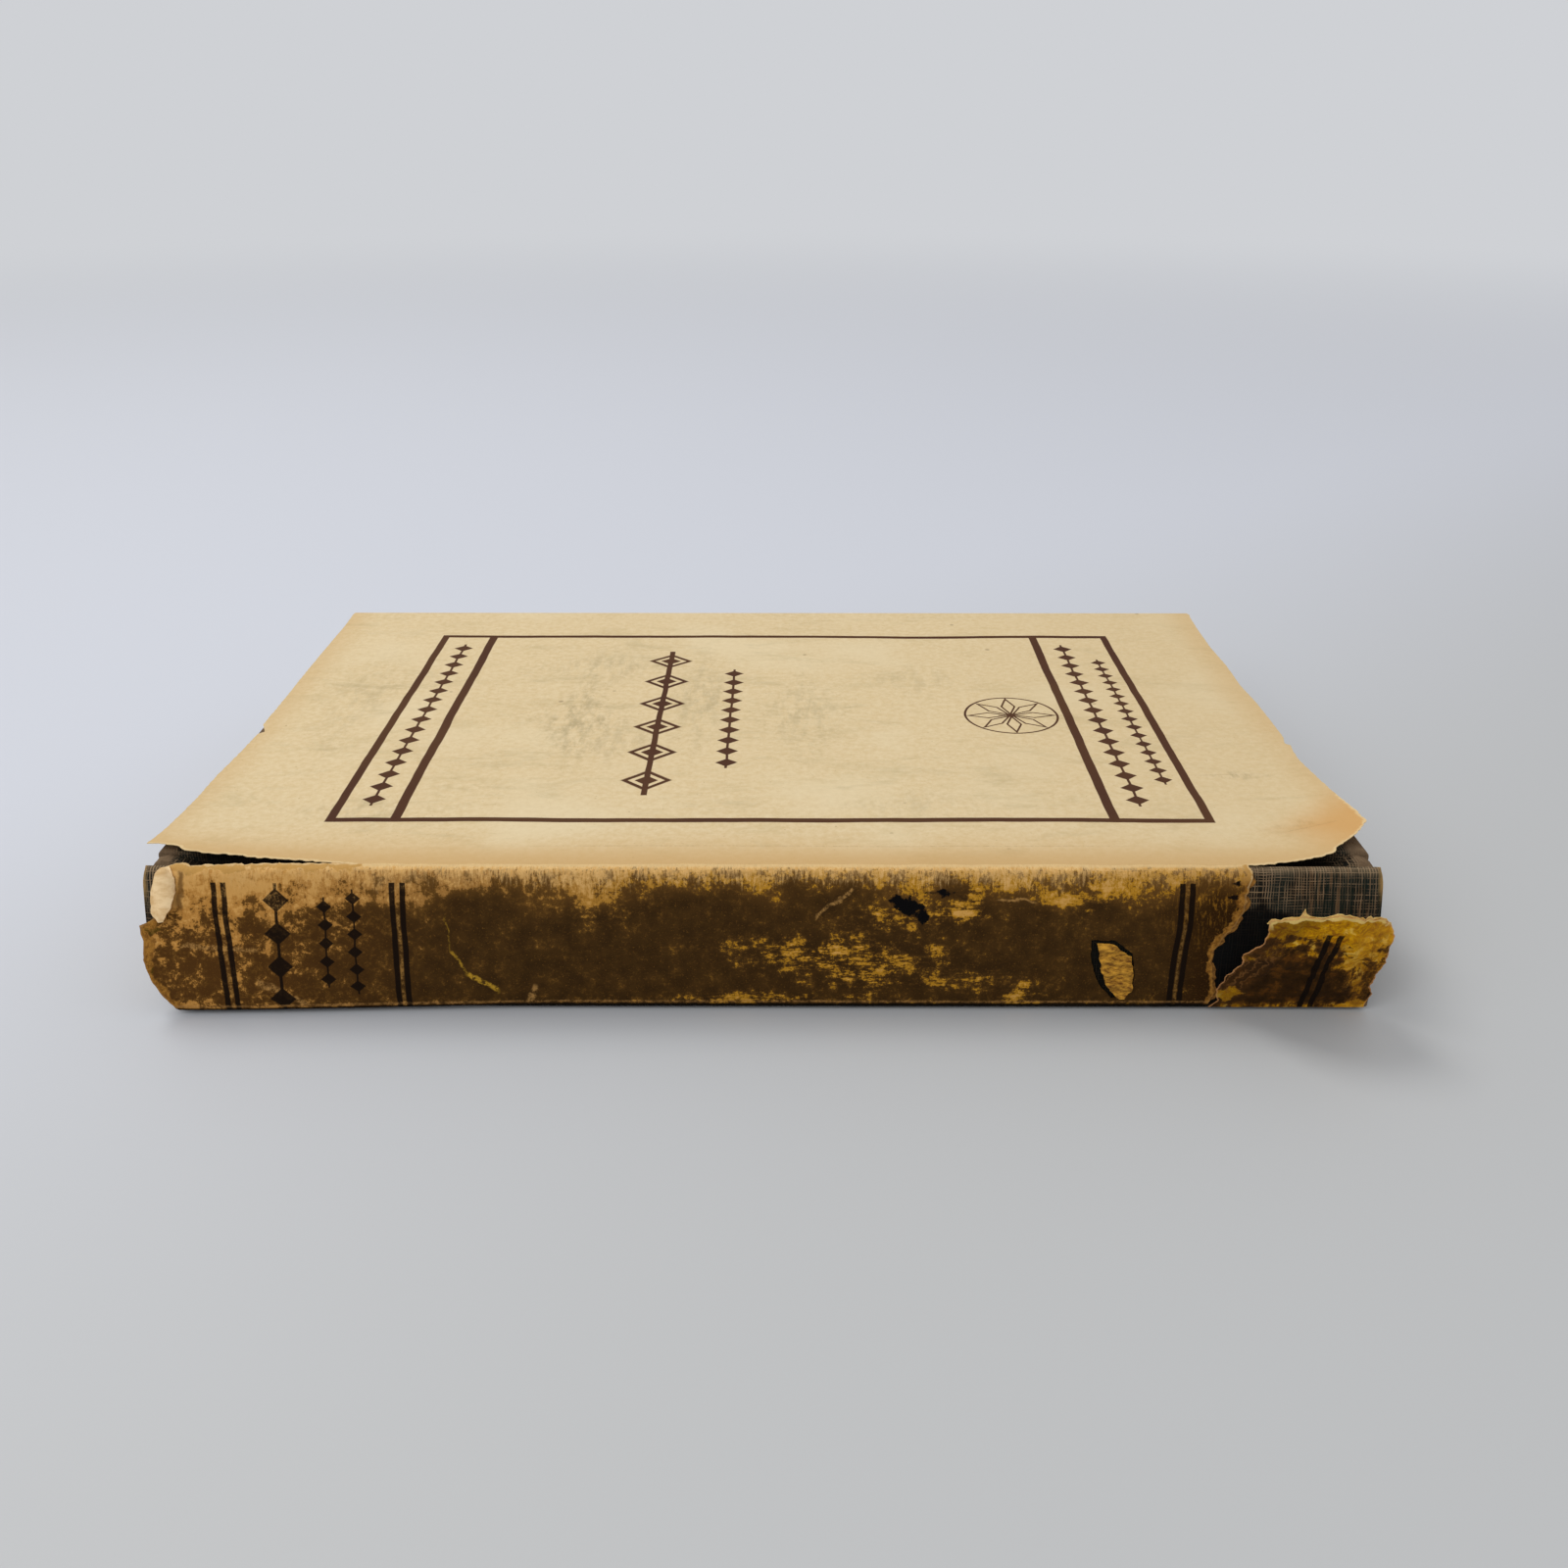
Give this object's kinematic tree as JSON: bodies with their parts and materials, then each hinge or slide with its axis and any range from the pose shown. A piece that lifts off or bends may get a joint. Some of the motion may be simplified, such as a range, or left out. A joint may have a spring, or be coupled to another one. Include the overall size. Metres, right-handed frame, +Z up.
{
  "type": "hardcover book",
  "caption": "Old cloth-bound hardcover book in a worn, torn paper jacket, lying on its back, with covers that open at the spine.",
  "frame": {"origin": "middle of the back panel's outer face, on the surface that the book lies on", "axes": "+X along the spine from head to tail, +Y from the spine to the fore edge, +Z up out of the front cover"},
  "size_m": [0.1924, 0.1346, 0.0256],
  "materials": {
    "pages": "aged cut edges",
    "endpaper": "matt aged paper",
    "gauze": "starched open weave",
    "lining": "brown paper",
    "board": "grey-brown millboard",
    "cloth": "ribbed book cloth, rubbed",
    "jacket": "buff laid paper, worn",
    "jacket_spine": "browned and rubbed paper",
    "ink": "dark brown letterpress ink"
  },
  "bodies": {
    "block": {"text_block": "pages", "front_flyleaf": "endpaper", "back_flyleaf": "endpaper", "spine_gauze": "gauze", "spine_lining": "lining", "spine_inlay": "board", "spine_cloth": "cloth", "jacket_spine": "jacket_spine", "jacket_tail_piece": "jacket_spine", "spine_print": "ink", "tail_piece_print": "ink"},
    "front_cover": {"front_board": "board", "front_cloth": "cloth", "front_pastedown": "endpaper", "jacket_front": "jacket", "front_print": "ink"},
    "back_cover": {"back_board": "board", "back_cloth": "cloth", "back_pastedown": "endpaper", "jacket_back": "jacket"}
  },
  "joints": [
    {"name": "front_hinge", "type": "hinge", "parent": "block", "child": "front_cover", "pos_m": [0, -0.05708, 0.0238], "axis": [1, 0, 0], "range_deg": [0, 180]},
    {"name": "back_hinge", "type": "hinge", "parent": "block", "child": "back_cover", "pos_m": [0, -0.06267, 0.00175], "axis": [-1, 0, 0], "range_deg": [0, 180]}
  ]
}
